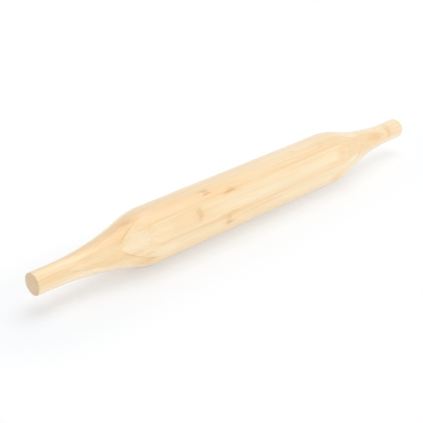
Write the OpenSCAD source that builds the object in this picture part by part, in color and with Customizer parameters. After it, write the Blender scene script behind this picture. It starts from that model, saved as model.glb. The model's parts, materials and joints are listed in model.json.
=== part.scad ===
// One-piece rolling pin turned from a glued block of bamboo strips.
// The pin's axis lies along X, its middle is at the origin, and Z is up.

/* [Turned outline] */
// Overall length, end face to end face
length = 456; // [400:1:520]
// Diameter of the straight barrel
barrel_d = 50; // [42:0.5:60]
// Length of the straight barrel
barrel_len = 225; // [180:1:270]
// Diameter of the grips
grip_d = 19.4; // [16:0.1:24]
// Length of the straight part of each grip
grip_len = 16; // [6:0.5:30]
// Radius of the rounded shoulder at each end of the barrel
shoulder_r = 67; // [30:1:110]
// Rounding of the edge round each end face
end_round = 0.8; // [0.3:0.1:3]

/* [Glued block] */
// Thickness of each face ply that turning leaves on the barrel
face_left = 1.55; // [0.8:0.05:3]
// Width of a bamboo strip
strip_w = 20; // [16:0.5:24]
// How far the edge joints of every other ply are shifted sideways
stagger = 3.4; // [1:0.1:6]
// Tilt of the plies' front side above the horizontal, in degrees
ply_tilt = 28.5; // [0:0.5:90]
// Thickness at which a ply's feathered tip ends
tip_t = 0.15; // [0.14:0.01:0.4]

/* [Hidden] */

$fn = 96;

// Plies are counted from the core, 0, outwards: to the front they are positive.
face_ply = 4;
whole_plies = 2 * face_ply - 1;
ply_t = (barrel_d - 2 * face_left) / whole_plies;

// Strips of one ply, across its width
LOWER = -1;
MIDDLE = 0;
UPPER = 1;

barrel_r = barrel_d / 2;
grip_r = grip_d / 2;
half_len = length / 2;
shoulder_x = barrel_len / 2;
grip_x = half_len - grip_len;

// The taper is a convex shoulder that runs straight on into a hollow waist.
// The two arcs share one tangent, which fixes the waist's radius and the slope between them.
taper_run = grip_x - shoulder_x;
taper_drop = barrel_r - grip_r;
arc_sum = (pow(taper_run, 2) + pow(taper_drop, 2)) / (2 * taper_drop);
waist_r = arc_sum - shoulder_r;
slope = asin(taper_run / arc_sum);
// Radius of the pin where the shoulder runs on into the waist
join_r = barrel_r - shoulder_r * (1 - cos(slope));

// Straight pieces that stand for each arc of the outline
arc_steps = 12;
round_steps = 4;

// The blank is larger than the pin all round, so that turning cuts every outer side.
blank_over = 5;
blank_r = barrel_r + blank_over;
// Cuts in the blank run past it by as much again.
cut_r = blank_r + blank_over;

// Tones of the bamboo: the outer plies are paler than those under them.
pale_tone = [0.93, 0.83, 0.67];
warm_tone = [0.90, 0.77, 0.57];
deep_tone = [0.86, 0.70, 0.49];

// Points of an arc about [x, r], from one angle to another. An angle is 90 straight outwards.
// The waist leaves out its point 0, which the shoulder has already given.
function arc(x, r, radius, from, to, steps, first = 0) = [
    for (i = [first : steps])
        let (a = from + (to - from) * i / steps)
        [x + radius * cos(a), r + radius * sin(a)]
];

// The outline of one half, from the barrel's shoulder to the end face, as [x, radius] points
function half_outline() = concat(
    arc(shoulder_x, barrel_r - shoulder_r, shoulder_r, 90, 90 - slope, arc_steps),
    arc(grip_x, grip_r + waist_r, waist_r, 270 - slope, 270, arc_steps, first = 1),
    arc(half_len - end_round, grip_r - end_round, end_round, 90, 0, round_steps)
);

// The turned surface, before it is told apart into strips
module turned_pin() {
    right = half_outline();
    last = len(right) - 1;
    rotate([0, 90, 0])
        rotate_extrude()
            polygon(concat(
                [[0, -half_len]],
                [for (i = [last : -1 : 0]) [right[i][1], -right[i][0]]],
                [for (p = right) [p[1], p[0]]],
                [[0, half_len]]
            ));
}

// Place along the pin where the turned surface has come down to a radius
function place_of(r) =
    r > join_r
    ? shoulder_x + sqrt(pow(shoulder_r, 2) - pow(r - barrel_r + shoulder_r, 2))
    : grip_x - sqrt(pow(waist_r, 2) - pow(grip_r + waist_r - r, 2));

// How far from the middle a piece reaches that starts at a distance from the axis.
// It ends before its tip gets thinner than tip_t, and the piece beneath it carries on from there.
function reach(distance) = distance + tip_t > grip_r ? place_of(distance + tip_t) : half_len + blank_over;

// The core ply lies on both sides of the axis.
core_depth = [-ply_t / 2, ply_t / 2];

// Distance of any other ply's inner side from the axis
function inner_side(ply) = (abs(ply) - 0.5) * ply_t;
function ply_reach(ply) = reach(inner_side(ply));

// Edge joints between the strips of a ply, as distances across it. Odd plies are shifted.
function joint_shift(ply) = abs(ply) % 2 == 1 ? stagger : 0;
function lower_joint(ply) = joint_shift(ply) - strip_w / 2;
function upper_joint(ply) = joint_shift(ply) + strip_w / 2;

// A box of the glued block, from a distance towards the front and one across the plies
module block(half_x, depth, width) {
    rotate([-ply_tilt, 0, 0])
        translate([-half_x, -depth[1], width[0]])
            cube([2 * half_x, depth[1] - depth[0], width[1] - width[0]]);
}

// All of the block outside a ply's inner side, out to far, on its own side of the core
module outside(ply, far, width) {
    depth = ply > 0 ? [inner_side(ply), far] : [-far, -inner_side(ply)];
    block(ply_reach(ply), depth, width);
}

// The widths that a strip takes up across its ply
function strip_width(ply, side) =
    side == LOWER ? [-blank_r, lower_joint(ply)]
    : side == UPPER ? [upper_joint(ply), blank_r]
    : [lower_joint(ply), upper_joint(ply)];

// A strip of a whole ply is what the next ply out leaves of it under the turned surface.
module ply_strip(ply, side) {
    next = ply + sign(ply);
    intersection() {
        turned_pin();
        difference() {
            outside(ply, blank_r, strip_width(ply, side));
            outside(next, cut_r, [-cut_r, cut_r]);
        }
    }
}

// A face ply is one strip, right across.
module face_strip(ply) {
    intersection() {
        turned_pin();
        outside(ply, blank_r, [-blank_r, blank_r]);
    }
}

// One of the two strips beside the core's middle one
module core_side_strip(side) {
    intersection() {
        turned_pin();
        block(reach(strip_w / 2), core_depth, strip_width(0, side));
    }
}

module core_middle_strip() {
    intersection() {
        turned_pin();
        difference() {
            block(half_len + blank_over, core_depth, [-blank_r, blank_r]);
            block(reach(strip_w / 2), [-cut_r, cut_r], [-cut_r, lower_joint(0)]);
            block(reach(strip_w / 2), [-cut_r, cut_r], [upper_joint(0), cut_r]);
        }
    }
}

module front_face() { color(pale_tone) face_strip(face_ply); }

module front_outer_lower() { color(pale_tone) ply_strip(3, LOWER); }
module front_outer_middle() { color(warm_tone) ply_strip(3, MIDDLE); }
module front_outer_upper() { color(warm_tone) ply_strip(3, UPPER); }

module front_second_lower() { color(deep_tone) ply_strip(2, LOWER); }
module front_second_middle() { color(deep_tone) ply_strip(2, MIDDLE); }
module front_second_upper() { color(warm_tone) ply_strip(2, UPPER); }

module front_inner_lower() { color(warm_tone) ply_strip(1, LOWER); }
module front_inner_middle() { color(pale_tone) ply_strip(1, MIDDLE); }
module front_inner_upper() { color(warm_tone) ply_strip(1, UPPER); }

module core_lower() { color(pale_tone) core_side_strip(LOWER); }
module core_middle() { color(warm_tone) core_middle_strip(); }
module core_upper() { color(pale_tone) core_side_strip(UPPER); }

module back_inner_lower() { color(warm_tone) ply_strip(-1, LOWER); }
module back_inner_middle() { color(pale_tone) ply_strip(-1, MIDDLE); }
module back_inner_upper() { color(warm_tone) ply_strip(-1, UPPER); }

module back_second_lower() { color(deep_tone) ply_strip(-2, LOWER); }
module back_second_middle() { color(warm_tone) ply_strip(-2, MIDDLE); }
module back_second_upper() { color(deep_tone) ply_strip(-2, UPPER); }

module back_outer_lower() { color(warm_tone) ply_strip(-3, LOWER); }
module back_outer_middle() { color(pale_tone) ply_strip(-3, MIDDLE); }
module back_outer_upper() { color(warm_tone) ply_strip(-3, UPPER); }

module back_face() { color(pale_tone) face_strip(-face_ply); }

front_face();
front_outer_lower();
front_outer_middle();
front_outer_upper();
front_second_lower();
front_second_middle();
front_second_upper();
front_inner_lower();
front_inner_middle();
front_inner_upper();
core_lower();
core_middle();
core_upper();
back_inner_lower();
back_inner_middle();
back_inner_upper();
back_second_lower();
back_second_middle();
back_second_upper();
back_outer_lower();
back_outer_middle();
back_outer_upper();
back_face();
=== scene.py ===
import json
import math

import bmesh
import bpy
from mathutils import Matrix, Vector


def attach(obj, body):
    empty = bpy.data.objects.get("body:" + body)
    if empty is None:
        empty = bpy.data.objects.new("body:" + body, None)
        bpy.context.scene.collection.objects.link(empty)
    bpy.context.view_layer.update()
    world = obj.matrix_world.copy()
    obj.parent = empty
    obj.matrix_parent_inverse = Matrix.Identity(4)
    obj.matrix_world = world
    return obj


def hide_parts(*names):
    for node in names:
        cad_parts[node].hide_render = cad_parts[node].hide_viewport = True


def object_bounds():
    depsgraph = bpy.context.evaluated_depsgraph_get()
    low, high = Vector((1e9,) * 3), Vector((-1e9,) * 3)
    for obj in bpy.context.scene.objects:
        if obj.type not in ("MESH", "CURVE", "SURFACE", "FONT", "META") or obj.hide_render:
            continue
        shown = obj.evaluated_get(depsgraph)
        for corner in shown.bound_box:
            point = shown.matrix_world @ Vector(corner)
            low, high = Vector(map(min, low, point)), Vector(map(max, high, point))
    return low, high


bl_info = {
    "name": "Bamboo rolling pin",
    "version": (1, 0, 0),
    "blender": (4, 5, 0),
    "location": "3D View > Sidebar > Rolling pin",
    "description": "Strips, finishes and stage of a turned rolling pin of laminated bamboo",
    "category": "Object",
}

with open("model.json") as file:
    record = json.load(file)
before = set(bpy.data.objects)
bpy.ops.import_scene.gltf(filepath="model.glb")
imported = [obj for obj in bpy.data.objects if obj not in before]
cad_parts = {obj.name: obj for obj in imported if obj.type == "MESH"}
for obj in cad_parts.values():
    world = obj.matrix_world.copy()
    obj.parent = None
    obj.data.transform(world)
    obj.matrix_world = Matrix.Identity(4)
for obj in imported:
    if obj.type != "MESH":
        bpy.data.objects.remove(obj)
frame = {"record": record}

CAD_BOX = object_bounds()
BARREL = next(mount for mount in frame["record"]["mounts"] if mount["name"] == "barrel")

MM = 0.001
PHOTO_SIDE = 423

# Plies are counted from the core, 0, outwards: to the front they are positive.
PLY_NAMES = {
    4: "front_face", 3: "front_outer", 2: "front_second", 1: "front_inner",
    0: "core",
    -1: "back_inner", -2: "back_second", -3: "back_outer", -4: "back_face",
}
FACE_PLY = 4
WHOLE_PLIES = 2 * FACE_PLY - 1
SIDES = ("lower", "middle", "upper")

# Steps of the turned surface: round the pin, and along each stretch of its outline
ROUND_STEPS = 192
BARREL_STEPS = 12
ARC_STEPS = 28
GRIP_STEPS = 3
EDGE_STEPS = 6

# A corner that lies closer than this to a cutting plane, in metres, counts as on it.
ON_PLANE = 1e-7
# A turned face whose normal points at least this squarely along the pin is an end face.
END_FACE = 0.9999

# Sizes in mm of what runs with the fibres: along the pin, out of a ply, and across it
WANDER_SIZE = (80.0, 9.0, 9.0)
STREAK_SIZE = (95.0, 3.6, 1.9)
BAND_SIZE = (130.0, 8.0, 6.5)
LINE_SIZE = (60.0, 0.6, 0.6)
BUNDLE_SIZE = (90.0, 0.9, 1.0)
# Size in mm of the grooves of the sanding, along the pin
SANDING_SIZE = 0.45
# How far the fibres wander across a ply, and how far they bend beside a node, in mm
WANDER_WIDTH = 2.2
RIPPLE_WIDTH = 3.0
# How far apart along the grain the strips take theirs from, so that no two are alike, in mm
GRAIN_APART = 1000.0
# Part of the pin's length, to each side of its middle, over which a strip's tone changes
TONE_RUN = 0.3
# How much streaks and bands change the tone, and how much lines and streaks change its lightness
STREAK_TONE = 1.2
BAND_TONE = 1.4
LINE_SHADE = 0.16
STREAK_SHADE = 0.14

# Sizes in mm of the grain in a node mark and in a streak: along the pin, and across a ply
MARK_GRAIN_SIZE = (2.0, 0.7)
MARK_DASH_SIZE = (6.0, 0.5)
MARK_EDGE_SIZE = (7.0, 7.0)
STREAK_WAVER_SIZE = (18.0, 6.0)
STREAK_GRAIN_SIZE = (16.0, 0.8)
# How far a streak wavers across a ply, in mm
STREAK_WAVER = 2.0

# A node's line wavers and bows, by these amounts in mm, with one waver to each MARK_WAVER_SIZE.
MARK_WAVER = 6.0
MARK_WAVER_SIZE = 2.6
MARK_BOW = 1.5
# A node mark has a scar on each side of this line, a bed under both, and dark flecks in a honey
# halo, with rippled grain beside it. Places and reaches are in mm along the pin from the line.
SCAR_PLACE = 1.6
SCAR_REACH = 1.7
BED_REACH = 5.0
FLECK_REACH = 9.0
RIPPLE_REACH = 12.0
HALO_REACH = 13.0
# How much each part adds to the mark, and the halo to the honey tint
SCAR_SHARE = 0.20
BED_SHARE = 0.32
FLECK_SHARE = 0.27
HALO_SHARE = 0.8

# How far each feature takes the bamboo towards its own colour
SKIN_SHARE = 0.6
TINT_SHARE = 0.8
DARK_SHARE = 0.6
BUNDLE_SHARE = 0.3
RIND_SHARE = 0.38
MARK_SHARE = 0.75
# Part of the rind's darkness that is lost towards the pin's right end
RIND_FADE = 0.6
# The end grain is more honey in colour than the sides, darker, partly in its own colour and partly as
# painted shade on the end faces, and rougher, with specks whose size is in mm.
END_HONEY = 0.38
END_DARK_AND_SHADE = 0.185
END_ROUGHER = 0.2
SPECK_SIZE = 1.1
SPECK_CONTRAST = 0.4

# Half width in mm at which a glue line starts to show, and at which it shows in full:
# between two plies, and between two strips of a ply, where it is fainter
PLY_LINE = (0.14, 0.02)
JOINT_LINE = (0.10, 0.01)
JOINT_SHARE = 0.7
# How much of the glue's colour its lines show everywhere, and how much more beside the rind
GLUE_SHARE = 0.02
GLUE_RIND_SHARE = 0.2
# A face ply has no joints, so its joints are put this far off, in mm.
NO_JOINT = 100.0

# Relief of the grain: its strength and depth, how much of it the lines and the sanding make up,
# and how low the bundles, glue lines and node marks lie in it
RELIEF_STRENGTH = 0.35
RELIEF_DEPTH = 0.12 * MM
LINE_RELIEF = 0.6
SANDING_RELIEF = 0.3
BUNDLE_DIP = 0.5
GLUE_DIP = 0.15
MARK_DIP = 0.4
# The clear finish over it, which lines and bundles roughen a little
LINE_ROUGHER = 0.16
BUNDLE_ROUGHER = 0.08
COAT_WEIGHT = 0.8
COAT_ROUGHNESS = 0.35
SHEEN_WEIGHT = 0.2
SHEEN_ROUGHNESS = 0.5

# Half the side of the floor in metres, and its matt paint
FLOOR_HALF = 6.0
FLOOR_ROUGHNESS = 0.9
FLOOR_SPECULAR = 0.1
# Part of the shadow reach over which the floor's veil stays as it is beside the pin
SHADOW_CORE = 0.3
# Sine of the height above the horizon where the walls' light starts to give way to the
# ceiling's, and where only the ceiling's is left
WALL_TOP = 0.45
CEILING_EDGE = 0.75

# Width of the camera's sensor in mm, and how far it sees in metres
SENSOR_WIDTH = 36.0
CLIP_END = 20.0

# How each strip looks, as (tones, skin, node marks, streaks).
# Tones are those of its left and right ends, from 0, the palest bamboo, to 1, the deepest.
# Skin is how deep the fibre-rich outer side of its ply shows near the strip's edges.
# Places are in mm in the glued block: along the pin, and across the ply.
# A mark of one of the bamboo's nodes is (place along, middle, half width, strength).
# A streak is (place along, half length, middle, half width, strength).
# It is honey up to a strength of 1, darker in its middle beyond that, and cream below 0.
STRIPS = {
    "front_face": (
        (0.60, 0.20), 0.0,
        [(-71.0, 1.0, 6.5, 0.7), (131.0, 2.0, 7.0, 0.2)],
        [
            (-41.0, 14.0, -8.0, 1.5, 1.3), (-18.0, 24.0, -7.8, 1.2, 0.7), (-30.0, 14.0, 8.3, 0.9, 1.3),
            (15.0, 70.0, 7.8, 1.4, 0.5), (105.0, 14.0, -5.4, 1.2, 0.8), (-8.0, 50.0, -1.0, 6.0, -0.5),
            (-113.0, 14.0, 1.0, 9.0, -0.3), (-86.0, 20.0, 0.0, 5.0, 0.2), (120.0, 14.0, 1.0, 9.0, 0.8),
        ],
    ),
    "front_outer_lower": (
        (0.40, 0.15), 0.3,
        [(-40.0, -12.0, 6.5, 0.5), (172.0, -14.0, 5.0, 0.4)],
        [
            (-38.0, 9.0, -16.0, 1.6, 1.15), (108.0, 10.0, -17.0, 0.9, 1.2), (-45.0, 40.0, -10.0, 1.8, 0.5),
            (-112.0, 16.0, -14.5, 3.5, -0.6), (-5.0, 34.0, -14.5, 3.0, 0.4),
        ],
    ),
    "front_outer_middle": (
        (0.80, 0.85), 0.15,
        [(-29.0, 10.5, 3.2, 0.45)],
        [
            (-135.0, 18.0, -1.0, 10.0, -0.6), (-36.0, 34.0, 10.2, 4.0, 1.0), (-31.0, 9.0, 9.2, 1.2, 1.15),
            (60.0, 60.0, 11.0, 3.0, 0.3), (139.0, 18.0, 3.0, 12.0, 0.8),
        ],
    ),
    "front_outer_upper": (
        (1.10, 0.80), 0.3,
        [(-54.0, 15.8, 2.8, 0.7), (96.0, 17.0, 5.0, 0.2)],
        [
            (-57.0, 9.0, 17.8, 1.2, 1.3), (-54.0, 7.0, 14.4, 1.0, 1.2), (-92.0, 24.0, 17.4, 1.8, 1.1),
            (-40.0, 34.0, 14.5, 2.0, 0.5), (-68.0, 34.0, 19.4, 2.0, 0.7), (60.0, 60.0, 15.0, 3.0, -0.2),
        ],
    ),
    "front_second_lower": (
        (0.60, 0.15), 0.8,
        [(-118.0, -15.0, 5.0, 0.2)],
        [(107.0, 11.0, -20.0, 2.4, 1.1), (-130.0, 16.0, -16.5, 4.0, 0.8), (-126.0, 9.0, -17.6, 2.4, 0.7)],
    ),
    "front_second_middle": (
        (0.90, 0.75), 1.0,
        [(186.0, 0.0, 4.5, 0.15), (-16.0, 0.0, 10.0, 0.7)],
        [
            (183.0, 22.0, 2.0, 6.0, 0.8), (168.0, 34.0, 1.0, 9.0, 0.6),
            (-150.0, 24.0, 8.5, 3.5, 0.9), (-168.0, 30.0, 1.0, 9.0, 0.2),
        ],
    ),
    "front_second_upper": (
        (0.90, 0.30), 0.8,
        [(-138.0, 17.5, 2.5, 0.4), (62.0, 16.0, 5.0, 0.3)],
        [
            (-95.0, 22.0, 19.0, 1.5, 1.0), (-136.0, 32.0, 14.5, 5.5, 1.0), (-126.0, 12.0, 17.5, 2.0, 0.5),
            (40.0, 60.0, 20.0, 2.0, -0.3),
        ],
    ),
    # front_inner_lower: its palest tone and its cream streaks low on the left taper and grip are partly
    # the bamboo's own paleness and partly a painted reflection of the white floor.
    "front_inner_lower": (
        (0.0, 0.0), 0.3,
        [(88.0, -19.0, 6.0, 0.7), (-152.0, -13.0, 5.0, 0.2)],
        [(-150.0, 40.0, -14.0, 4.0, -0.7), (-190.0, 40.0, -8.0, 3.0, -0.6)],
    ),
    "front_inner_middle": (
        (0.40, 0.10), 0.5,
        [(205.5, 1.0, 8.0, 0.3), (-30.0, 3.0, 10.0, 0.7)],
        [
            (205.5, 4.5, 0.5, 9.0, 0.6), (177.0, 15.0, 6.6, 1.5, 0.9), (-212.0, 22.0, 0.6, 2.4, 0.9),
            (-166.0, 32.0, 10.5, 4.0, 0.8), (-165.0, 40.0, -5.0, 2.5, -0.6),
            (-214.0, 20.0, -6.0, 2.5, -0.4), (205.0, 30.0, 9.0, 3.0, -0.4),
        ],
    ),
    "front_inner_upper": (
        (0.90, 0.0), 0.8,
        [(-96.0, 19.0, 5.0, 0.4), (118.0, 18.0, 5.0, 0.3)],
        [(-140.0, 26.0, 16.5, 4.5, 0.9), (150.0, 34.0, 15.0, 5.0, -0.7)],
    ),
    "core_lower": (
        (0.10, 0.20), 0.5,
        [(24.0, -20.0, 7.0, 0.7)],
        [(-60.0, 40.0, -23.0, 2.0, 0.5)],
    ),
    "core_middle": (
        (0.40, 0.35), 0.5,
        [(-214.0, 0.0, 9.0, 0.3), (190.0, 0.0, 9.0, 0.4)],
        [(-120.0, 60.0, 8.0, 3.0, 0.4)],
    ),
    "core_upper": (
        (0.30, 0.10), 0.5,
        [(-64.0, 20.0, 7.0, 0.5), (150.0, 15.0, 6.0, 0.4)],
        [(30.0, 50.0, 22.0, 2.0, 0.3)],
    ),
    "back_inner_lower": (
        (0.50, 0.35), 0.5,
        [(-44.0, -19.0, 6.0, 0.7), (140.0, -13.0, 6.0, 0.5)],
        [(60.0, 30.0, -20.0, 2.0, 0.6)],
    ),
    "back_inner_middle": (
        (0.10, 0.25), 0.7,
        [(-198.0, 3.0, 9.0, 0.4)],
        [(190.0, 30.0, 4.0, 2.0, 0.5)],
    ),
    "back_inner_upper": (
        (0.55, 0.40), 0.6,
        [(104.0, 19.0, 5.0, 0.7)],
        [(-40.0, 50.0, 22.0, 1.5, 0.6)],
    ),
    "back_second_lower": (
        (0.70, 0.85), 0.6,
        [(76.0, -16.0, 6.0, 0.7)],
        [(-90.0, 40.0, -18.0, 2.0, 0.5)],
    ),
    "back_second_middle": (
        (0.60, 0.85), 0.8,
        [(-170.0, 0.0, 8.0, 0.5)],
        [(160.0, 30.0, -4.0, 3.0, 0.5)],
    ),
    "back_second_upper": (
        (0.90, 0.70), 0.6,
        [(-20.0, 16.0, 6.0, 0.8)],
        [(90.0, 40.0, 18.0, 1.5, 0.6)],
    ),
    "back_outer_lower": (
        (0.40, 0.55), 0.4,
        [(12.0, -13.0, 6.0, 0.8)],
        [(12.0, 12.0, -9.0, 1.2, 0.7), (-80.0, 40.0, -14.0, 2.0, -0.4)],
    ),
    "back_outer_middle": (
        (0.10, 0.10), 0.3,
        [(84.0, 4.0, 9.0, 0.8), (-130.0, 3.0, 9.0, 0.5)],
        [(80.0, 14.0, 10.0, 1.0, 0.7)],
    ),
    "back_outer_upper": (
        (0.60, 0.40), 0.4,
        [(-76.0, 17.0, 4.0, 0.7)],
        [(-70.0, 14.0, 15.0, 1.0, 0.8)],
    ),
    "back_face": (
        (0.15, 0.30), 0.0,
        [(38.0, 0.0, 8.0, 0.6), (-92.0, 0.0, 8.0, 0.5)],
        [(44.0, 16.0, 3.0, 1.0, 0.7), (-20.0, 60.0, -4.0, 2.0, 0.3)],
    ),
}


class PinSizes(bpy.types.PropertyGroup):
    """Sizes of the turned pin and of the block it is turned from."""

    length: bpy.props.FloatProperty(
        name="Length", description="End face to end face", unit="LENGTH",
        default=CAD_BOX[1][0] - CAD_BOX[0][0],
    )
    barrel_d: bpy.props.FloatProperty(
        name="Barrel diameter", description="Diameter of the straight barrel", unit="LENGTH",
        default=2 * BARREL["dims"]["r_mm"] * MM,
    )
    barrel_len: bpy.props.FloatProperty(
        name="Barrel length", description="Length of the straight barrel", unit="LENGTH",
        default=BARREL["dims"]["length_mm"] * MM,
    )
    grip_d: bpy.props.FloatProperty(
        name="Grip diameter", description="Diameter of the grips", unit="LENGTH", default=0.0194,
    )
    grip_len: bpy.props.FloatProperty(
        name="Grip length", description="Straight part of each grip", unit="LENGTH", default=0.016,
    )
    shoulder_r: bpy.props.FloatProperty(
        name="Shoulder radius", description="Rounded shoulder at each end of the barrel",
        unit="LENGTH", default=0.067,
    )
    end_round: bpy.props.FloatProperty(
        name="End rounding", description="Rounding of the edge round each end face",
        unit="LENGTH", default=0.0008,
    )
    face_left: bpy.props.FloatProperty(
        name="Face ply left", description="Thickness of each face ply that turning leaves",
        unit="LENGTH", default=0.00155,
    )
    strip_w: bpy.props.FloatProperty(
        name="Strip width", description="Width of a bamboo strip", unit="LENGTH", default=0.020,
    )
    stagger: bpy.props.FloatProperty(
        name="Stagger", description="Sideways shift of the joints in every other ply",
        unit="LENGTH", default=0.0034,
    )
    ply_tilt: bpy.props.FloatProperty(
        name="Ply tilt", description="Tilt of the plies' front side above the horizontal",
        subtype="ANGLE", default=math.radians(28.5),
    )


class BambooLook(bpy.types.PropertyGroup):
    """Colours and finish of the bamboo."""

    pale: bpy.props.FloatVectorProperty(
        name="Pale bamboo", description="Colour of the palest strips", subtype="COLOR",
        default=(0.885, 0.70, 0.442),
    )
    deep: bpy.props.FloatVectorProperty(
        name="Deep bamboo", description="Colour of the deepest strips", subtype="COLOR",
        default=(0.85, 0.595, 0.315),
    )
    honey: bpy.props.FloatVectorProperty(
        name="Honey", description="Colour of the warm streaks and of the outer side of a ply",
        subtype="COLOR", default=(0.86, 0.55, 0.265),
    )
    fibre: bpy.props.FloatVectorProperty(
        name="Fibres", description="Colour of the fibre bundles", subtype="COLOR",
        default=(0.62, 0.38, 0.16),
    )
    mark: bpy.props.FloatVectorProperty(
        name="Node marks", description="Colour of the marks of the bamboo's nodes",
        subtype="COLOR", default=(0.46, 0.20, 0.04),
    )
    cream: bpy.props.FloatVectorProperty(
        name="Cream", description="Colour of the palest streaks", subtype="COLOR",
        default=(0.915, 0.785, 0.58),
    )
    glue: bpy.props.FloatVectorProperty(
        name="Glue lines", description="Colour of the glue between the strips",
        subtype="COLOR", default=(0.55, 0.33, 0.14),
    )
    roughness: bpy.props.FloatProperty(
        name="Roughness", description="Roughness of the satin finish", subtype="FACTOR",
        min=0.0, max=1.0, default=0.44,
    )


class StageLook(bpy.types.PropertyGroup):
    """Camera, lamps and floor."""

    turn: bpy.props.FloatProperty(
        name="Turn", description="Turn of the view about the vertical", subtype="ANGLE",
        default=math.radians(-43.95),
    )
    tilt: bpy.props.FloatProperty(
        name="Tilt", description="Height of the view above the horizontal", subtype="ANGLE",
        default=math.radians(26.83),
    )
    distance: bpy.props.FloatProperty(
        name="Distance", description="From the camera to the point it looks at", unit="LENGTH",
        default=0.8926,
    )
    target: bpy.props.FloatVectorProperty(
        name="Target", description="Point in the middle of the picture", unit="LENGTH",
        default=(-0.03759, 0.0, -0.00435),
    )
    focal: bpy.props.FloatProperty(
        name="Focal length", description="Focal length in pixels of the photograph", default=1011.8,
    )
    walls: bpy.props.FloatProperty(
        name="Walls", description="Strength of the light from the white walls all round",
        default=1.10,
    )
    ceiling: bpy.props.FloatProperty(
        name="Ceiling", description="Strength of the light from the ceiling", default=0.40,
    )
    wall_tint: bpy.props.FloatVectorProperty(
        name="Wall tint", description="Colour of the light from the walls and the ceiling",
        subtype="COLOR", default=(0.94, 0.97, 1.0),
    )
    overhead: bpy.props.FloatProperty(
        name="Overhead light", description="Power in watts of the soft box above the pin",
        default=19.5,
    )
    overhead_place: bpy.props.FloatVectorProperty(
        name="Overhead place", description="Middle of the soft box above the pin", unit="LENGTH",
        default=(0.5, 0.1, 2.0),
    )
    overhead_tint: bpy.props.FloatVectorProperty(
        name="Overhead tint", description="Colour of the soft box above the pin",
        subtype="COLOR", default=(1.0, 0.985, 0.95),
    )
    overhead_side: bpy.props.FloatProperty(
        name="Overhead side", description="Side of the soft box above the pin", unit="LENGTH",
        default=1.8,
    )
    fill: bpy.props.FloatProperty(
        name="Fill light", description="Power in watts of the low soft box in front",
        default=14.5,
    )
    fill_place: bpy.props.FloatVectorProperty(
        name="Fill place", description="Middle of the low soft box in front", unit="LENGTH",
        default=(-0.3, -2.4, 0.36),
    )
    fill_width: bpy.props.FloatProperty(
        name="Fill width", description="Width of the low soft box in front", unit="LENGTH", default=2.8,
    )
    fill_height: bpy.props.FloatProperty(
        name="Fill height", description="Height of the low soft box in front", unit="LENGTH", default=1.0,
    )
    floor: bpy.props.FloatVectorProperty(
        name="Floor", description="Colour of the floor", subtype="COLOR",
        default=(0.955, 0.965, 0.99),
    )
    # Painted light: the floor veil fades the pin's shadow, seen directly, towards white.
    floor_veil: bpy.props.FloatProperty(
        name="Floor veil", description="How far the floor beside the pin, seen directly, fades to white",
        subtype="FACTOR", min=0.0, max=1.0, default=0.46,
    )
    # Painted light: the pin's shadow on the floor is faded lighter the further right it lies.
    veil_rise: bpy.props.FloatProperty(
        name="Veil rise", description="How much the floor veil grows per metre towards the right",
        default=0.6,
    )
    shadow_reach: bpy.props.FloatProperty(
        name="Shadow reach", description="Distance from the pin at which the floor is quite white",
        unit="LENGTH", default=0.09,
    )


# Outline


def outline_arcs(pin):
    """The values that the two arcs of a taper share with the barrel and the grip."""
    arcs = {
        "barrel_r": pin.barrel_d / 2,
        "grip_r": pin.grip_d / 2,
        "half": pin.length / 2,
        "shoulder_x": pin.barrel_len / 2,
        "grip_x": pin.length / 2 - pin.grip_len,
        "shoulder_r": pin.shoulder_r,
        "end_round": pin.end_round,
    }
    run = arcs["grip_x"] - arcs["shoulder_x"]
    drop = arcs["barrel_r"] - arcs["grip_r"]
    both = (run * run + drop * drop) / (2 * drop)
    arcs["waist_r"] = both - pin.shoulder_r
    arcs["slope"] = math.asin(run / both)
    arcs["join_x"] = arcs["shoulder_x"] + pin.shoulder_r * math.sin(arcs["slope"])
    return arcs


def half_outline(pin):
    """Rings of one half, from beside the middle to the end face, as (place, radius)."""
    a = outline_arcs(pin)
    rings = [(a["shoulder_x"] * i / BARREL_STEPS, a["barrel_r"]) for i in range(1, BARREL_STEPS + 1)]
    for i in range(1, ARC_STEPS + 1):
        angle = a["slope"] * i / ARC_STEPS
        rings.append((
            a["shoulder_x"] + a["shoulder_r"] * math.sin(angle),
            a["barrel_r"] - a["shoulder_r"] * (1 - math.cos(angle)),
        ))
    for i in range(1, ARC_STEPS + 1):
        angle = a["slope"] * (1 - i / ARC_STEPS)
        rings.append((
            a["grip_x"] - a["waist_r"] * math.sin(angle),
            a["grip_r"] + a["waist_r"] * (1 - math.cos(angle)),
        ))
    straight = pin.grip_len - a["end_round"]
    rings += [(a["grip_x"] + straight * i / GRIP_STEPS, a["grip_r"]) for i in range(1, GRIP_STEPS + 1)]
    for i in range(1, EDGE_STEPS + 1):
        angle = math.pi / 2 * i / EDGE_STEPS
        rings.append((
            a["half"] - a["end_round"] * (1 - math.sin(angle)),
            a["grip_r"] - a["end_round"] * (1 - math.cos(angle)),
        ))
    return rings


def outline_normal(arcs, x):
    """The turned surface's slope at a place along the pin, as a normal (along, outwards)."""
    place = abs(x)
    if place <= arcs["shoulder_x"]:
        angle = 0.0
    elif place <= arcs["join_x"]:
        angle = math.asin((place - arcs["shoulder_x"]) / arcs["shoulder_r"])
    elif place <= arcs["grip_x"]:
        angle = math.asin((arcs["grip_x"] - place) / arcs["waist_r"])
    else:
        rounded = place - (arcs["half"] - arcs["end_round"])
        angle = math.asin(min(1.0, max(0.0, rounded / arcs["end_round"])))
    return math.copysign(math.sin(angle), x), math.cos(angle)


# Strips


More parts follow.
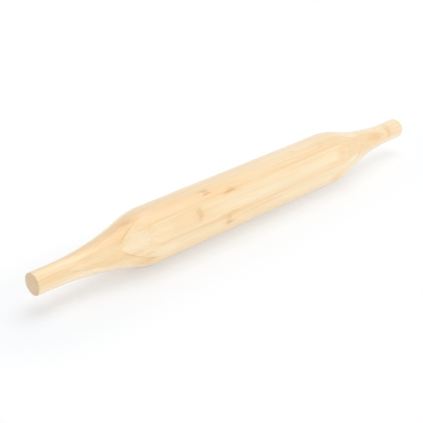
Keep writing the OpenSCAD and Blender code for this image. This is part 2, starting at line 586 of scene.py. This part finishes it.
def turned_blank(pin):
    """The whole pin as one closed mesh, before it is told apart into strips."""
    right = half_outline(pin)
    rings = [(-x, r) for x, r in reversed(right)] + [(0.0, pin.barrel_d / 2)] + right
    mesh = bmesh.new()
    loops = []
    for x, r in rings:
        turns = [2 * math.pi * step / ROUND_STEPS for step in range(ROUND_STEPS)]
        loops.append([mesh.verts.new((x, -r * math.cos(turn), r * math.sin(turn))) for turn in turns])
    for here, there in zip(loops, loops[1:]):
        for step in range(ROUND_STEPS):
            after = (step + 1) % ROUND_STEPS
            mesh.faces.new((here[step], here[after], there[after], there[step]))
    mesh.faces.new(reversed(loops[0]))
    mesh.faces.new(loops[-1])
    bmesh.ops.recalc_face_normals(mesh, faces=mesh.faces)
    mesh.faces.layers.int.new("glued")
    return mesh


def ply_thickness(pin):
    """Thickness of every whole ply: what the face plies leave of the barrel, shared out evenly."""
    return (pin.barrel_d - 2 * pin.face_left) / WHOLE_PLIES


def depth_range(pin, ply):
    """A ply's inner and outer sides before turning, as distances outwards from the axis."""
    thickness = ply_thickness(pin)
    if ply == 0:
        return -thickness / 2, thickness / 2
    return (abs(ply) - 0.5) * thickness, (abs(ply) + 0.5) * thickness


def joints(pin, ply):
    """Places across a ply where its strips meet. Odd plies are shifted sideways."""
    shift = pin.stagger if abs(ply) % 2 else 0.0
    return shift - pin.strip_w / 2, shift + pin.strip_w / 2


def strip_middle(pin, ply, side):
    """Place of a strip's own middle across its ply."""
    low, high = joints(pin, ply)
    if side == "lower":
        return low - pin.strip_w / 2
    if side == "upper":
        return high + pin.strip_w / 2
    return (low + high) / 2


def block_directions(pin):
    """The directions out of the block's front side and across its plies."""
    outwards = Vector((0.0, -math.cos(pin.ply_tilt), math.sin(pin.ply_tilt)))
    across = Vector((0.0, math.sin(pin.ply_tilt), math.cos(pin.ply_tilt)))
    return outwards, across


def strip_cuts(pin, ply, side):
    """The planes that part a strip from its neighbours, as (direction away from it, distance)."""
    outwards, across = block_directions(pin)
    if ply < 0:
        outwards = -outwards
    inner, outer = depth_range(pin, ply)
    low, high = joints(pin, ply)
    cuts = [(-outwards, -inner)]
    if side is not None:
        cuts.append((outwards, outer))
    if side == "lower":
        cuts.append((across, low))
    if side == "middle":
        cuts += [(-across, -low), (across, high)]
    if side == "upper":
        cuts.append((-across, -high))
    return cuts


def cut_strip(blank, cuts):
    """A copy of the blank with all beyond the given planes taken off and the cuts closed."""
    mesh = blank.copy()
    glued = mesh.faces.layers.int["glued"]
    for direction, distance in cuts:
        everything = mesh.verts[:] + mesh.edges[:] + mesh.faces[:]
        bmesh.ops.bisect_plane(
            mesh, geom=everything, dist=ON_PLANE,
            plane_co=direction * distance, plane_no=direction, clear_outer=True,
        )
        rim = [edge for edge in mesh.edges if edge.is_boundary]
        for face in bmesh.ops.holes_fill(mesh, edges=rim, sides=0)["faces"]:
            face[glued] = 1
    return mesh


def give_true_normals(mesh, pin):
    """Shades the turned faces by the outline itself, and the glued and end faces flat."""
    arcs = outline_arcs(pin)
    glued = mesh.attributes["glued"].data
    normals = [None] * len(mesh.loops)
    for face in mesh.polygons:
        flat = glued[face.index].value or abs(face.normal.x) > END_FACE
        for corner in face.loop_indices:
            if flat:
                normals[corner] = face.normal.copy()
                continue
            x, y, z = mesh.vertices[mesh.loops[corner].vertex_index].co
            along, outwards = outline_normal(arcs, x)
            radius = math.hypot(y, z)
            normals[corner] = (along, outwards * y / radius, outwards * z / radius)
    mesh.shade_smooth()
    mesh.normals_split_custom_set(normals)


def make_strip(blank, pin, ply, side):
    """One bamboo strip as the turned surface leaves it, in place of its CAD node."""
    node = PLY_NAMES[ply] if side is None else f"{PLY_NAMES[ply]}_{side}"
    cut = cut_strip(blank, strip_cuts(pin, ply, side))
    mesh = bpy.data.meshes.new(f"strip_{node}")
    cut.to_mesh(mesh)
    cut.free()
    give_true_normals(mesh, pin)
    piece = bpy.data.objects.new(f"strip_{node}", mesh)
    bpy.context.scene.collection.objects.link(piece)
    mesh.materials.append(bamboo_material(pin, node, ply, side))
    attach(piece, "root")
    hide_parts(node)


def make_plies(plies):
    """All strips of the given plies."""
    pin = bpy.context.scene.pin_sizes
    blank = turned_blank(pin)
    for ply in plies:
        for side in (None,) if abs(ply) == FACE_PLY else SIDES:
            make_strip(blank, pin, ply, side)
    blank.free()


# Materials


class Field:
    """A number that a material works out at each point, written like ordinary arithmetic."""

    def __init__(self, tree, socket):
        self.tree = tree
        self.socket = socket

    def math(self, operation, *others):
        node = self.tree.nodes.new("ShaderNodeMath")
        node.operation = operation
        for socket, value in zip(node.inputs, (self, *others)):
            feed(self.tree, socket, value)
        return Field(self.tree, node.outputs[0])

    def __add__(self, other):
        return self.math("ADD", other)

    def __sub__(self, other):
        return self.math("SUBTRACT", other)

    def __mul__(self, other):
        return self.math("MULTIPLY", other)

    def __truediv__(self, other):
        return self.math("DIVIDE", other)

    def __abs__(self):
        return self.math("ABSOLUTE")

    def most(self, other):
        return self.math("MAXIMUM", other)

    def ramp(self, start, end):
        """0 at start and 1 at end, in either order, with a soft run between them."""
        node = self.tree.nodes.new("ShaderNodeMapRange")
        node.interpolation_type = "SMOOTHSTEP"
        feed(self.tree, node.inputs["Value"], self)
        feed(self.tree, node.inputs["From Min"], start)
        feed(self.tree, node.inputs["From Max"], end)
        return Field(self.tree, node.outputs["Result"])


def feed(tree, socket, value):
    """Links a field to a socket, or sets the socket to a plain value."""
    if isinstance(value, Field):
        tree.links.new(value.socket, socket)
    else:
        socket.default_value = value


def vector(tree, x, y, z):
    """Three numbers as one vector."""
    node = tree.nodes.new("ShaderNodeCombineXYZ")
    for socket, value in zip(node.inputs, (x, y, z)):
        feed(tree, socket, value)
    return Field(tree, node.outputs[0])


def stretched(tree, places, sizes):
    """Places in mm, counted in sizes of their own in each direction."""
    return vector(tree, *(place / size for place, size in zip(places, sizes)))


def slice_at(tree, places, sizes, depth):
    """Two places in mm, counted in sizes of their own, on one slice through the noise."""
    along, across = (place / size for place, size in zip(places, sizes))
    return vector(tree, along, across, depth)


def noise(tree, place, detail=2.0, roughness=0.5):
    """Soft noise about 0.5, with one swell to each unit of place."""
    node = tree.nodes.new("ShaderNodeTexNoise")
    feed(tree, node.inputs["Vector"], place)
    feed(tree, node.inputs["Scale"], 1.0)
    feed(tree, node.inputs["Detail"], detail)
    feed(tree, node.inputs["Roughness"], roughness)
    return Field(tree, node.outputs[0])


def cells(tree, place, randomness=0.9):
    """Distance from the nearest of many scattered points, one to each unit of place."""
    node = tree.nodes.new("ShaderNodeTexVoronoi")
    feed(tree, node.inputs["Vector"], place)
    feed(tree, node.inputs["Scale"], 1.0)
    feed(tree, node.inputs["Randomness"], randomness)
    return Field(tree, node.outputs["Distance"])


def mix(tree, share, first, second):
    """A colour between two others."""
    node = tree.nodes.new("ShaderNodeMix")
    node.data_type = "RGBA"
    feed(tree, node.inputs["Factor"], share)
    colours = [socket for socket in node.inputs if socket.type == "RGBA"]
    feed(tree, colours[0], first)
    feed(tree, colours[1], second)
    return Field(tree, next(socket for socket in node.outputs if socket.type == "RGBA"))


def shade(tree, colour, value):
    """A colour made darker or lighter."""
    node = tree.nodes.new("ShaderNodeHueSaturation")
    feed(tree, node.inputs["Color"], colour)
    feed(tree, node.inputs["Value"], value)
    return Field(tree, node.outputs[0])


def new_group(name, inputs, outputs):
    """An empty node group with its sockets, and fields for its inputs."""
    group = bpy.data.node_groups.new(name, "ShaderNodeTree")
    kinds = {"number": "NodeSocketFloat", "colour": "NodeSocketColor"}
    for socket, kind in inputs.items():
        group.interface.new_socket(name=socket, in_out="INPUT", socket_type=kinds[kind])
    for socket, kind in outputs.items():
        group.interface.new_socket(name=socket, in_out="OUTPUT", socket_type=kinds[kind])
    entry = group.nodes.new("NodeGroupInput")
    given = {name: Field(group, entry.outputs[name]) for name in inputs}
    return group, given


def finish_group(group, results):
    """Links the worked out fields to a group's outputs."""
    leave = group.nodes.new("NodeGroupOutput")
    for name, value in results.items():
        feed(group, leave.inputs[name], value)


def use_group(tree, group, values):
    """Puts a group into a tree with the given values, and returns its outputs as fields."""
    node = tree.nodes.new("ShaderNodeGroup")
    node.node_tree = group
    for name, value in values.items():
        feed(tree, node.inputs[name], value)
    return {socket.name: Field(tree, socket) for socket in node.outputs}


def block_group():
    """Places in the glued block, in mm: along the pin, out of its front side, and across a ply."""
    name = "Place in the glued block"
    if name in bpy.data.node_groups:
        return bpy.data.node_groups[name]
    group, _ = new_group(name, {}, {"Along": "number", "Outwards": "number", "Across": "number"})
    place = group.nodes.new("ShaderNodeTexCoord")
    turned = group.nodes.new("ShaderNodeMapping")
    turned.inputs["Rotation"].default_value[0] = bpy.context.scene.pin_sizes.ply_tilt
    turned.inputs["Scale"].default_value = (1 / MM, 1 / MM, 1 / MM)
    parts = group.nodes.new("ShaderNodeSeparateXYZ")
    group.links.new(place.outputs["Object"], turned.inputs["Vector"])
    group.links.new(turned.outputs["Vector"], parts.inputs["Vector"])
    along, inwards, across = (Field(group, socket) for socket in parts.outputs)
    finish_group(group, {"Along": along, "Outwards": inwards * -1.0, "Across": across})
    return group


def node_mark_group():
    """The mark that one node of the bamboo leaves across a strip."""
    name = "Node mark"
    if name in bpy.data.node_groups:
        return bpy.data.node_groups[name]
    inputs = dict.fromkeys(("Along", "Across", "Place", "Middle", "Half width", "Strength"), "number")
    group, given = new_group(name, inputs, {"Mark": "number", "Halo": "number", "Ripple": "number"})
    along, across = given["Along"], given["Across"]
    off = (across - given["Middle"]) / given["Half width"]
    waver = noise(group, vector(group, given["Place"], across / MARK_WAVER_SIZE, 0.0), 3.0) - 0.5
    beside = along - given["Place"] + waver * MARK_WAVER + off * off * MARK_BOW
    grain = noise(group, slice_at(group, (along, across), MARK_GRAIN_SIZE, given["Place"]), 3.0)
    dash = noise(group, slice_at(group, (along, across), MARK_DASH_SIZE, given["Place"]), 1.0)
    edge = noise(group, slice_at(group, (along, across), MARK_EDGE_SIZE, given["Place"])) - 0.5
    within = (abs(off) + edge).ramp(1.15, 0.45)
    scar = abs(abs(beside) - SCAR_PLACE).ramp(SCAR_REACH, 0.0) * grain.ramp(0.38, 0.62)
    bed = abs(beside).ramp(BED_REACH, 0.0)
    fleck = dash.ramp(0.50, 0.68) * abs(beside).ramp(FLECK_REACH, 1.0)
    mark = scar * SCAR_SHARE + bed * BED_SHARE + fleck * FLECK_SHARE
    mark = mark * within * given["Strength"]
    halo = abs(beside).ramp(HALO_REACH, 1.0) * within * given["Strength"]
    ripple = abs(beside).ramp(RIPPLE_REACH, 0.0) * within * given["Strength"] * (grain - 0.5)
    finish_group(group, {"Mark": mark, "Halo": halo, "Ripple": ripple})
    return group


def streak_group():
    """A long soft patch of darker or paler fibres."""
    name = "Streak"
    if name in bpy.data.node_groups:
        return bpy.data.node_groups[name]
    sockets = ("Along", "Across", "Place", "Half length", "Middle", "Half width", "Strength")
    group, given = new_group(name, dict.fromkeys(sockets, "number"), {"Tint": "number"})
    along, across = given["Along"], given["Across"]
    waver = noise(group, slice_at(group, (along, across), STREAK_WAVER_SIZE, given["Place"])) - 0.5
    beyond = (along - given["Place"]) / given["Half length"]
    beside = (across - given["Middle"] + waver * STREAK_WAVER) / given["Half width"]
    grain = noise(group, slice_at(group, (along, across), STREAK_GRAIN_SIZE, given["Place"]))
    tint = (beyond * beyond + beside * beside).ramp(1.3, 0.0) * grain.ramp(0.15, 0.6)
    finish_group(group, {"Tint": tint * given["Strength"]})
    return group


def bamboo_group():
    """Bamboo of one strip, with its fibres, its darker skin side and its glue lines."""
    name = "Bamboo strip"
    if name in bpy.data.node_groups:
        return bpy.data.node_groups[name]
    look = bpy.context.scene.bamboo_look
    inputs = {
        "Left tone": "number", "Right tone": "number", "Skin": "number",
        "Along": "number", "Depth": "number", "Across": "number",
        "Inner side": "number", "Outer side": "number",
        "Lower joint": "number", "Upper joint": "number", "Middle": "number",
        "Mark": "number", "Ripple": "number", "Tint": "number", "Seed": "number",
    }
    group, given = new_group(name, inputs, {"Color": "colour", "Roughness": "number", "Height": "number"})
    along = given["Along"] + given["Seed"] * GRAIN_APART
    depth = given["Depth"]
    share = (depth - given["Inner side"]) / (given["Outer side"] - given["Inner side"])

    # The fibres run along the pin but wander a little, and bend round a node.
    wander = noise(group, stretched(group, (along, depth, given["Across"]), WANDER_SIZE)) - 0.5
    across = given["Across"] + wander * WANDER_WIDTH + given["Ripple"] * RIPPLE_WIDTH
    place = (along, depth, across)
    streak = noise(group, stretched(group, place, STREAK_SIZE), 3.0, 0.55)
    band = noise(group, stretched(group, place, BAND_SIZE), 1.0)
    line = noise(group, stretched(group, place, LINE_SIZE))
    bundle = cells(group, stretched(group, place, BUNDLE_SIZE))
    bundle = bundle.ramp(0.40, 0.15) * share.ramp(-0.6, 1.2)

    # The tone of the strip, and the honey skin and dark rind towards its outer side
    pin = bpy.context.scene.pin_sizes
    reach = TONE_RUN * pin.length / MM
    rightness = given["Along"].ramp(-reach, reach)
    tone = given["Left tone"] + (given["Right tone"] - given["Left tone"]) * rightness
    tone = tone + (streak - 0.5) * -STREAK_TONE + (band - 0.5) * -BAND_TONE
    colour = mix(group, tone, (*look.pale, 1.0), (*look.deep, 1.0))
    colour = shade(group, colour, (line - 0.5) * LINE_SHADE + (streak - 0.5) * STREAK_SHADE + 1.0)
    half = pin.strip_w / 2 / MM
    edge = abs(given["Across"] - given["Middle"]).ramp(0.25 * half, 0.8 * half)
    skin = (share + (streak - 0.5) * 0.2).ramp(0.72, 1.0) * edge * given["Skin"]
    rind = share.ramp(0.84, 0.97) * edge * given["Skin"] * (rightness * -RIND_FADE + 1.0)
    honey = skin * SKIN_SHARE + given["Tint"].most(0.0) * TINT_SHARE
    colour = mix(group, honey, colour, (*look.honey, 1.0))
    cream = (given["Tint"] * -1.0).most(0.0) * TINT_SHARE
    colour = mix(group, cream, colour, (*look.cream, 1.0))
    dark = bundle * BUNDLE_SHARE + rind * RIND_SHARE + (given["Tint"] - 1.0).most(0.0) * DARK_SHARE
    colour = mix(group, dark, colour, (*look.fibre, 1.0))
    colour = mix(group, given["Mark"] * MARK_SHARE, colour, (*look.mark, 1.0))

    # The glue lines round the strip
    seams = abs(depth - given["Inner side"]).ramp(*PLY_LINE)
    seams = seams.most(abs(depth - given["Outer side"]).ramp(*PLY_LINE))
    seams = seams.most(abs(given["Across"] - given["Lower joint"]).ramp(*JOINT_LINE) * JOINT_SHARE)
    seams = seams.most(abs(given["Across"] - given["Upper joint"]).ramp(*JOINT_LINE) * JOINT_SHARE)
    glue = seams * (edge * given["Skin"] * GLUE_RIND_SHARE + GLUE_SHARE)
    colour = mix(group, glue, colour, (*look.glue, 1.0))

    # The end grain, where the surface faces along the pin, darker partly in its own colour and partly in
    # painted shade
    facing = group.nodes.new("ShaderNodeNewGeometry")
    parts = group.nodes.new("ShaderNodeSeparateXYZ")
    group.links.new(facing.outputs["Normal"], parts.inputs["Vector"])
    end_grain = abs(Field(group, parts.outputs[0])).ramp(0.75, 0.97)
    colour = mix(group, end_grain * END_HONEY, colour, (*look.honey, 1.0))
    speck_place = vector(group, given["Seed"], depth / SPECK_SIZE, given["Across"] / SPECK_SIZE)
    speck = noise(group, speck_place, 3.0) - 0.5
    # Darkens the end faces: partly the end grain's own colour, partly painted shade.
    colour = shade(group, colour, end_grain * (speck * SPECK_CONTRAST - END_DARK_AND_SHADE) + 1.0)
    colour = mix(group, end_grain * bundle * BUNDLE_SHARE, colour, (*look.fibre, 1.0))

    # Fine grooves of the sanding run round the pin.
    sanding = noise(group, vector(group, given["Along"] / SANDING_SIZE, 0.0, 0.0), 1.0)
    roughness = (line - 0.5) * LINE_ROUGHER + bundle * BUNDLE_ROUGHER
    roughness = roughness + end_grain * END_ROUGHER + look.roughness
    height = (line - 0.5) * LINE_RELIEF + (sanding - 0.5) * SANDING_RELIEF
    height = height - bundle * BUNDLE_DIP - seams * GLUE_DIP - given["Mark"] * MARK_DIP
    finish_group(group, {"Color": colour, "Roughness": roughness, "Height": height})
    return group


def bamboo_material(pin, node, ply, side):
    """The finish of one strip, with its own tone, joints, node marks and streaks."""
    material = bpy.data.materials.new(f"bamboo_{node}")
    material.use_nodes = True
    tree = material.node_tree
    shader = tree.nodes["Principled BSDF"]
    block = use_group(tree, block_group(), {})
    depth = block["Outwards"] if ply >= 0 else block["Outwards"] * -1.0
    (left, right), skin, node_marks, streaks = STRIPS[node]

    mark = ripple = tint = 0.0
    for place, middle, half, strength in node_marks:
        found = use_group(tree, node_mark_group(), {
            "Along": block["Along"], "Across": block["Across"],
            "Place": place, "Middle": middle, "Half width": half, "Strength": strength,
        })
        mark = found["Mark"] + mark
        tint = found["Halo"] * HALO_SHARE + tint
        ripple = found["Ripple"] + ripple
    for place, half_length, middle, half, strength in streaks:
        found = use_group(tree, streak_group(), {
            "Along": block["Along"], "Across": block["Across"], "Place": place,
            "Half length": half_length, "Middle": middle, "Half width": half, "Strength": strength,
        })
        tint = found["Tint"] + tint

    inner, outer = depth_range(pin, ply)
    low, high = joints(pin, ply)
    made = use_group(tree, bamboo_group(), {
        "Left tone": left, "Right tone": right, "Skin": skin,
        "Along": block["Along"], "Depth": depth, "Across": block["Across"],
        "Inner side": inner / MM, "Outer side": outer / MM,
        "Lower joint": NO_JOINT if side is None else low / MM,
        "Upper joint": NO_JOINT if side is None else high / MM,
        "Middle": strip_middle(pin, ply, side) / MM,
        "Mark": mark, "Ripple": ripple, "Tint": tint, "Seed": 1.0 + list(STRIPS).index(node),
    })
    bump = tree.nodes.new("ShaderNodeBump")
    bump.inputs["Strength"].default_value = RELIEF_STRENGTH
    bump.inputs["Distance"].default_value = RELIEF_DEPTH
    feed(tree, bump.inputs["Height"], made["Height"])
    feed(tree, shader.inputs["Base Color"], made["Color"])
    feed(tree, shader.inputs["Roughness"], made["Roughness"])
    tree.links.new(bump.outputs["Normal"], shader.inputs["Normal"])
    shader.inputs["Coat Weight"].default_value = COAT_WEIGHT
    shader.inputs["Coat Roughness"].default_value = COAT_ROUGHNESS
    shader.inputs["Sheen Weight"].default_value = SHEEN_WEIGHT
    shader.inputs["Sheen Roughness"].default_value = SHEEN_ROUGHNESS
    return material


# Stage


def seen_directly(tree):
    """1 where the camera, a mirror or glass sees the surface, and 0 for the light it gives."""
    rays = tree.nodes.new("ShaderNodeLightPath")
    seen = Field(tree, rays.outputs["Is Camera Ray"])
    seen = seen.most(Field(tree, rays.outputs["Is Glossy Ray"]))
    return seen.most(Field(tree, rays.outputs["Is Transmission Ray"]))


def floor_material(stage):
    """White floor paint. Seen directly it is paler, and quite white away from the pin's shadow. Near the
    pin, the paleness is a painted lightening of the pin's shadow, stronger towards the right.
    """
    material = bpy.data.materials.new("floor_paint")
    material.use_nodes = True
    tree = material.node_tree
    shader = tree.nodes["Principled BSDF"]
    shader.inputs["Base Color"].default_value = (*stage.floor, 1.0)
    shader.inputs["Roughness"].default_value = FLOOR_ROUGHNESS
    shader.inputs["Specular IOR Level"].default_value = FLOOR_SPECULAR
    place = tree.nodes.new("ShaderNodeTexCoord")
    parts = tree.nodes.new("ShaderNodeSeparateXYZ")
    tree.links.new(place.outputs["Object"], parts.inputs["Vector"])
    along, beside = Field(tree, parts.outputs[0]), Field(tree, parts.outputs[1])
    beyond = (abs(along) - CAD_BOX[1][0]).most(0.0)
    away = (beyond * beyond + beside * beside).math("SQRT")
    away = away.ramp(SHADOW_CORE * stage.shadow_reach, stage.shadow_reach)
    # Painted light: near the pin, the shadow is faded towards white, more so towards the right.
    near = along * stage.veil_rise + stage.floor_veil
    veil = near + away * (near * -1.0 + 1.0)
    white = tree.nodes.new("ShaderNodeEmission")
    blend = tree.nodes.new("ShaderNodeMixShader")
    feed(tree, blend.inputs[0], seen_directly(tree) * veil)
    tree.links.new(shader.outputs[0], blend.inputs[1])
    tree.links.new(white.outputs[0], blend.inputs[2])
    tree.links.new(blend.outputs[0], tree.nodes["Material Output"].inputs["Surface"])
    return material


def make_floor(stage, level):
    """A wide flat floor at the height where the pin touches it."""
    mesh = bpy.data.meshes.new("floor")
    corners = [(FLOOR_HALF * x, FLOOR_HALF * y, level) for x, y in ((-1, -1), (1, -1), (1, 1), (-1, 1))]
    mesh.from_pydata(corners, [], [(0, 1, 2, 3)])
    floor = bpy.data.objects.new("floor", mesh)
    bpy.context.scene.collection.objects.link(floor)
    mesh.materials.append(floor_material(stage))


def make_world(stage):
    """White walls and a dimmer ceiling, which both look white themselves."""
    world = bpy.data.worlds.new("studio")
    world.use_nodes = True
    tree = world.node_tree
    background = tree.nodes["Background"]
    direction = tree.nodes.new("ShaderNodeTexCoord")
    parts = tree.nodes.new("ShaderNodeSeparateXYZ")
    tree.links.new(direction.outputs["Generated"], parts.inputs["Vector"])
    high = Field(tree, parts.outputs[2]).ramp(WALL_TOP, CEILING_EDGE)
    light = high * (stage.ceiling - stage.walls) + stage.walls
    seen = seen_directly(tree)
    colour = mix(tree, seen, (*stage.wall_tint, 1.0), (1.0, 1.0, 1.0, 1.0))
    feed(tree, background.inputs["Color"], colour)
    feed(tree, background.inputs["Strength"], light + seen * (light * -1.0 + 1.0))
    bpy.context.scene.world = world


def make_soft_box(name, power, tint, sides, place):
    """A soft box of the given width and height that faces the middle of the pin."""
    light = bpy.data.lights.new(name, "AREA")
    light.shape = "RECTANGLE"
    light.size, light.size_y = sides
    light.energy = power
    light.color = tint
    lamp = bpy.data.objects.new(name, light)
    lamp.location = place
    lamp.rotation_euler = lamp.location.to_track_quat("Z", "Y").to_euler()
    bpy.context.scene.collection.objects.link(lamp)


def make_camera(stage):
    """The camera, at the photograph's viewing angle."""
    camera = bpy.data.cameras.new("camera")
    camera.sensor_width = SENSOR_WIDTH
    camera.lens = camera.sensor_width * stage.focal / PHOTO_SIDE
    camera.clip_end = CLIP_END
    level = math.cos(stage.tilt)
    back = Vector((math.sin(stage.turn) * level, -math.cos(stage.turn) * level, math.sin(stage.tilt)))
    eye = bpy.data.objects.new("camera", camera)
    eye.rotation_euler = back.to_track_quat("Z", "Y").to_euler()
    eye.location = Vector(stage.target) + back * stage.distance
    bpy.context.scene.collection.objects.link(eye)
    bpy.context.scene.camera = eye


# Operators and panel


class PIN_OT_face_plies(bpy.types.Operator):
    """Make the two face plies, which turning has left as slivers on the barrel"""

    bl_idname = "pin.face_plies"
    bl_label = "Face plies"

    def execute(self, context):
        make_plies((FACE_PLY, -FACE_PLY))
        return {"FINISHED"}


class PIN_OT_outer_plies(bpy.types.Operator):
    """Make the strips of the two outer plies, whose tongues end on the shoulders"""

    bl_idname = "pin.outer_plies"
    bl_label = "Outer plies"

    def execute(self, context):
        make_plies((3, -3))
        return {"FINISHED"}


class PIN_OT_second_plies(bpy.types.Operator):
    """Make the strips of the two second plies, which show on the tapers"""

    bl_idname = "pin.second_plies"
    bl_label = "Second plies"

    def execute(self, context):
        make_plies((2, -2))
        return {"FINISHED"}


class PIN_OT_inner_plies(bpy.types.Operator):
    """Make the strips of the two inner plies, which run out to the grips"""

    bl_idname = "pin.inner_plies"
    bl_label = "Inner plies"

    def execute(self, context):
        make_plies((1, -1))
        return {"FINISHED"}


class PIN_OT_core_ply(bpy.types.Operator):
    """Make the strips of the core ply, which lies on both sides of the axis"""

    bl_idname = "pin.core_ply"
    bl_label = "Core ply"

    def execute(self, context):
        make_plies((0,))
        return {"FINISHED"}


class PIN_OT_stage(bpy.types.Operator):
    """Set up the floor, the soft light and the camera"""

    bl_idname = "pin.stage"
    bl_label = "Stage"

    def execute(self, context):
        stage = context.scene.stage_look
        make_floor(stage, level=CAD_BOX[0][2])
        make_world(stage)
        above = (stage.overhead_side, stage.overhead_side)
        make_soft_box("overhead", stage.overhead, stage.overhead_tint, above, stage.overhead_place)
        front = (stage.fill_width, stage.fill_height)
        make_soft_box("fill", stage.fill, stage.wall_tint, front, stage.fill_place)
        make_camera(stage)
        context.scene.view_settings.view_transform = "Standard"
        return {"FINISHED"}


OPERATORS = (
    PIN_OT_face_plies, PIN_OT_outer_plies, PIN_OT_second_plies,
    PIN_OT_inner_plies, PIN_OT_core_ply, PIN_OT_stage,
)


class PIN_PT_panel(bpy.types.Panel):
    """Sizes, finishes and steps of the rolling pin"""

    bl_idname = "PIN_PT_panel"
    bl_label = "Rolling pin"
    bl_space_type = "VIEW_3D"
    bl_region_type = "UI"
    bl_category = "Rolling pin"

    def draw(self, context):
        for group in (context.scene.pin_sizes, context.scene.bamboo_look, context.scene.stage_look):
            box = self.layout.box()
            for name in group.__annotations__:
                box.prop(group, name)
        for operator in OPERATORS:
            self.layout.operator(operator.bl_idname)


CLASSES = (PinSizes, BambooLook, StageLook, *OPERATORS, PIN_PT_panel)


def register():
    for cls in CLASSES:
        bpy.utils.register_class(cls)
    bpy.types.Scene.pin_sizes = bpy.props.PointerProperty(type=PinSizes)
    bpy.types.Scene.bamboo_look = bpy.props.PointerProperty(type=BambooLook)
    bpy.types.Scene.stage_look = bpy.props.PointerProperty(type=StageLook)


def unregister():
    del bpy.types.Scene.stage_look
    del bpy.types.Scene.bamboo_look
    del bpy.types.Scene.pin_sizes
    for cls in reversed(CLASSES):
        bpy.utils.unregister_class(cls)


def main():
    """Builds the whole scene."""
    register()
    bpy.ops.pin.core_ply()
    bpy.ops.pin.inner_plies()
    bpy.ops.pin.second_plies()
    bpy.ops.pin.outer_plies()
    bpy.ops.pin.face_plies()
    bpy.ops.pin.stage()


if __name__ == "__main__":
    main()
